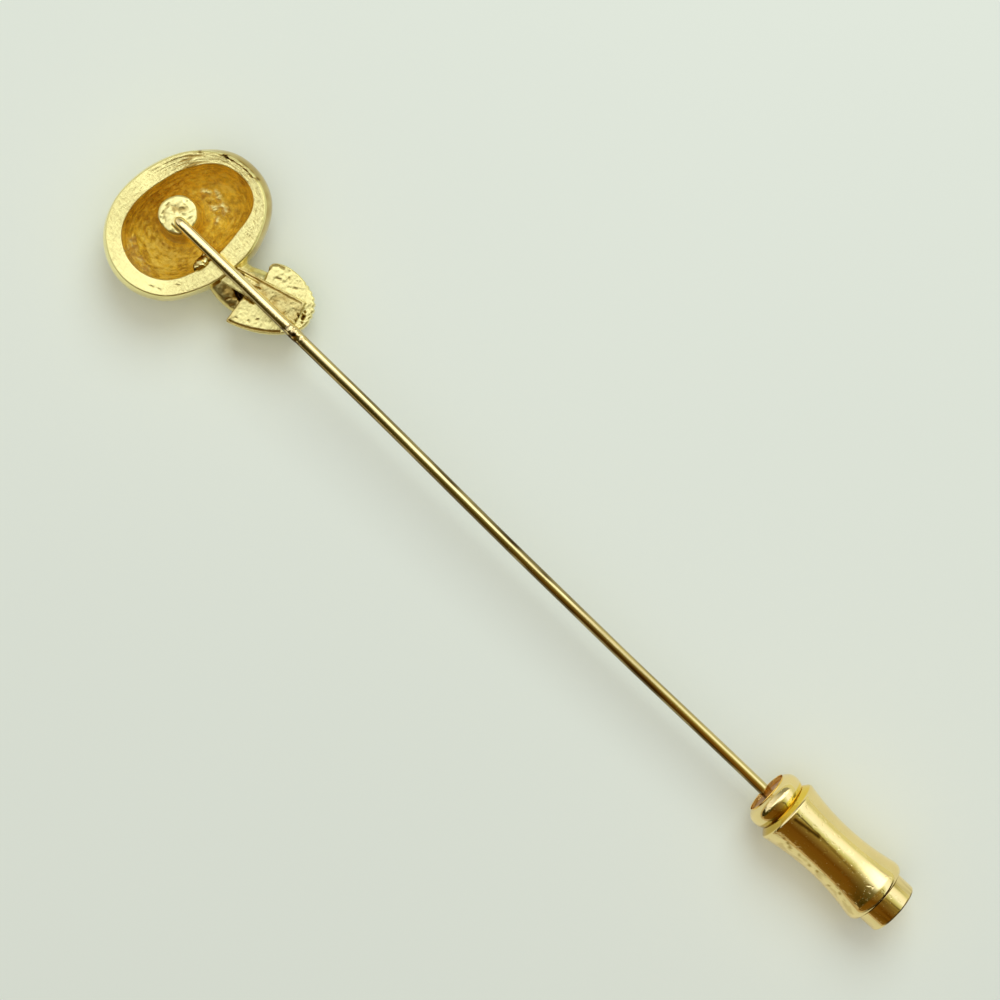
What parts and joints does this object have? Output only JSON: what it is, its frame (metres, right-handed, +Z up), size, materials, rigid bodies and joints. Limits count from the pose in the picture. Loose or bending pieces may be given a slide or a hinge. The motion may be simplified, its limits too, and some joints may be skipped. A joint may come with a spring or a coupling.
{
  "type": "stick pin",
  "caption": "Gold-plated stick pin: a toadstool-shaped cast head with a hollow back, a straight pin wire and a waisted clutch on its point.",
  "frame": {"origin": "on the floor under the middle of the lying pin, at the bottom centre of its bounding box", "axes": "+X along the pin from the head to the clutch, level with the floor; +Z up, the way the head's hollow back faces; the wire slopes down toward +X by 1.9 degrees"},
  "size_m": [0.0741, 0.0124, 0.0053],
  "materials": {
    "plated_head": "satin",
    "plated_clutch": "polished",
    "grip_disc": "matt"
  },
  "bodies": {
    "pin": {"head_and_wire": "plated_head"},
    "grip": {"grip_disc": "grip_disc"},
    "clutch": {"clutch_core": "plated_clutch", "clutch_sleeve": "plated_clutch", "clutch_end_cap": "plated_clutch"}
  },
  "joints": [
    {"name": "clutch_slide", "type": "slide", "parent": "pin", "child": "grip", "axis": [0.9995, 0, -0.0329], "range_m": [0, 0.0125]},
    {"name": "clutch_turn", "type": "hinge", "parent": "grip", "child": "clutch", "pos_m": [0.02531, -0.00026, 0.00284], "axis": [0.9995, 0, -0.0329], "continuous": true}
  ]
}
